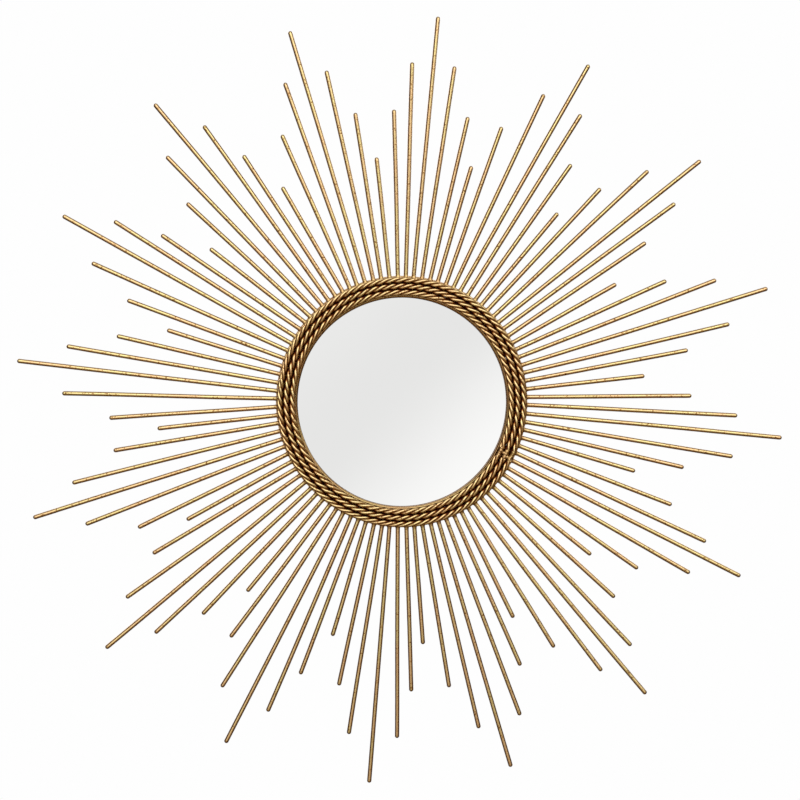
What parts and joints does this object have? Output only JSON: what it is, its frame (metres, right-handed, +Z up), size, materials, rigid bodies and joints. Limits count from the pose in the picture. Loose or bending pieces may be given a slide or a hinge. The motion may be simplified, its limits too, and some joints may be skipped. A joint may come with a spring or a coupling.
{
  "type": "sunburst wall mirror",
  "caption": "Round wall mirror framed by concentric twisted-wire rope rings, with straight gilt iron rods of stepped lengths radiating behind them like a star.",
  "frame": {"origin": "centre of the sunburst on the wall plane, which is the flat back face of the backing board", "axes": "+Y into the wall, -Y out of the front towards the viewer, +Z up, +X to the viewer's right"},
  "size_m": [0.8344, 0.0265, 0.8358],
  "materials": {
    "gilt_iron": "antique gold leaf on iron, satin, with brown rubbed edges",
    "mirror_glass": "silvered plate glass with a plain arrised edge",
    "foam_tape": "closed-cell foam with adhesive faces",
    "painted_board": "fibreboard rolled with dark brown-black paint",
    "zinc_steel": "bright zinc plate"
  },
  "bodies": {
    "frame": {"mirror_glass": "mirror_glass", "mounting_pads": "foam_tape", "backing_board": "painted_board", "board_screws": "zinc_steel", "rear_ring": "gilt_iron", "rim_hoop": "gilt_iron", "rope_joint_weld": "gilt_iron", "hanger_strap": "zinc_steel", "hanger_screws": "zinc_steel", "rope_inner": "gilt_iron", "rope_middle": "gilt_iron", "rope_outer": "gilt_iron", "ray_01": "gilt_iron", "ray_02": "gilt_iron", "ray_03": "gilt_iron", "ray_04": "gilt_iron", "ray_05": "gilt_iron", "ray_06": "gilt_iron", "ray_07": "gilt_iron", "ray_08": "gilt_iron", "ray_09": "gilt_iron", "ray_10": "gilt_iron", "ray_11": "gilt_iron", "ray_12": "gilt_iron", "ray_13": "gilt_iron", "ray_14": "gilt_iron", "ray_15": "gilt_iron", "ray_16": "gilt_iron"},
    "hanger": {"hanger_ring": "zinc_steel"}
  },
  "joints": [
    {"name": "hanger_ring_hinge", "type": "hinge", "parent": "frame", "child": "hanger", "pos_m": [0, -0.00472, 0.088], "axis": [-1, 0, 0], "range_deg": [0, 170]}
  ]
}
